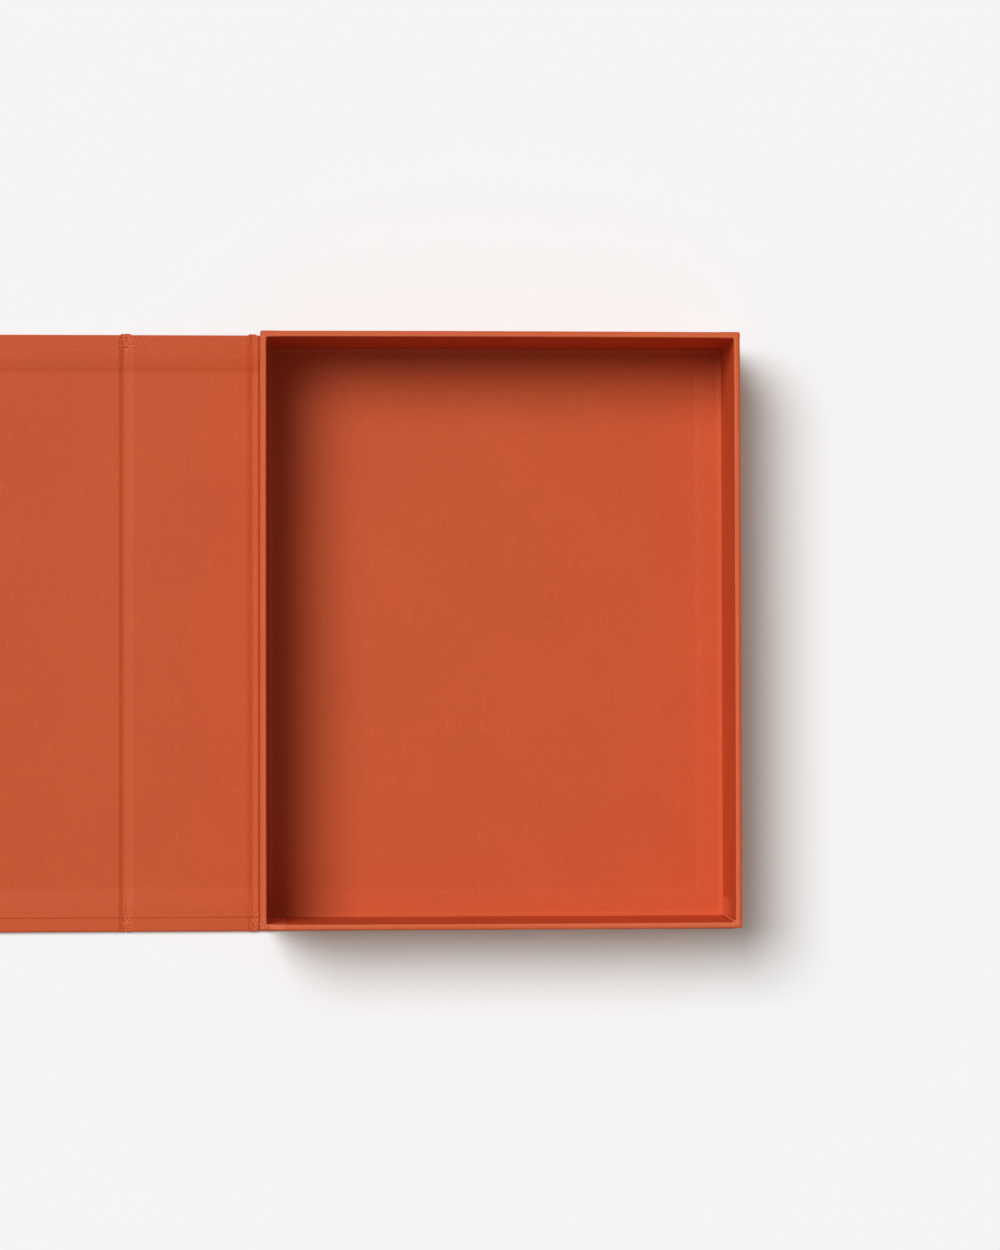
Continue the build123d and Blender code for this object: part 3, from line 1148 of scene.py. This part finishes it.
# %% Ceiling light
ceiling_gain = 1.9  # makes up for the light that is missing near the horizon
ceiling = ceiling_gain * level * (1 - main_share)
world = bpy.data.worlds.new("ceiling")
bpy.context.scene.world = world
world.use_nodes = True
tree = world.node_tree
tree.nodes.clear()
direction = add(tree, "ShaderNodeTexCoord").outputs["Generated"]
up = add(tree, "ShaderNodeSeparateXYZ", [(0, direction)]).outputs[2]
glow = calculate(tree, "MULTIPLY", calculate(tree, "MAXIMUM", up, 0.0), ceiling)
soft_glow = add(tree, "ShaderNodeBackground", [("Strength", glow)]).outputs[0]
print("ceiling strength overhead", round(ceiling, 2))

# %% Backdrop
def seen_paths(tree):
    """1 for what the camera sees, itself or in gloss or glass, 0 for what lights the box."""
    paths = add(tree, "ShaderNodeLightPath").outputs
    gloss, glass = paths["Is Glossy Ray"], paths["Is Transmission Ray"]
    gloss_or_glass = calculate(tree, "MAXIMUM", gloss, glass)
    return calculate(tree, "MAXIMUM", paths["Is Camera Ray"], gloss_or_glass)


backdrop = add(tree, "ShaderNodeBackground", [("Color", (0.92, 0.92, 0.92, 1))]).outputs[0]
lights = [(0, seen_paths(tree)), (1, soft_glow), (2, backdrop)]
either = add(tree, "ShaderNodeMixShader", lights)
add(tree, "ShaderNodeOutputWorld", [("Surface", either.outputs[0])])
bpy.context.scene.view_settings.view_transform = "Standard"
print("world nodes", len(tree.nodes))

# %% [markdown]
# ## Table
#
# The table is white paper. Plain white paper would either look grey or throw too much
# light back on the box. So the camera sees it a little whiter than it lights the box, and
# a faint warm glow, which the camera alone sees, warms the shadow: there the orange walls
# throw their colour onto the paper. The paper lies 0.4 mm low, clear of the cloth.

# %% Table top
table_reach, table_drop = 9000, 0.4
table_bm = flat_sheet(-table_reach, table_reach, -table_reach, table_reach, -table_drop)
bmesh.ops.scale(table_bm, vec=(MM, MM, MM), verts=table_bm.verts)
table_mesh = bpy.data.meshes.new("table")
table_bm.to_mesh(table_mesh)
table_bm.free()
table = bpy.data.objects.new("table", table_mesh)
bpy.context.scene.collection.objects.link(table)
print("table", 2 * table_reach * MM, "m wide")

# %% White paper
paper = bpy.data.materials.new("white paper")
paper.use_nodes = True
tree = paper.node_tree
shader = tree.nodes["Principled BSDF"]
shader.inputs["Roughness"].default_value = 1.0
shader.inputs["Specular IOR Level"].default_value = 0.0
lit_paper, seen_paper = (0.80, 0.80, 0.80, 1), (0.905, 0.96, 0.99, 1)
open_paper = 0.91
warm_glow = [open_paper - level * shade for shade in seen_paper[:3]]
seen = seen_paths(tree)
tree.links.new(mix_colours(tree, seen, lit_paper, seen_paper), shader.inputs["Base Color"])
shader.inputs["Emission Color"].default_value = (*warm_glow, 1)
tree.links.new(seen, shader.inputs["Emission Strength"])
table_mesh.materials.append(paper)
print("glow of the paper", [round(g, 3) for g in warm_glow])
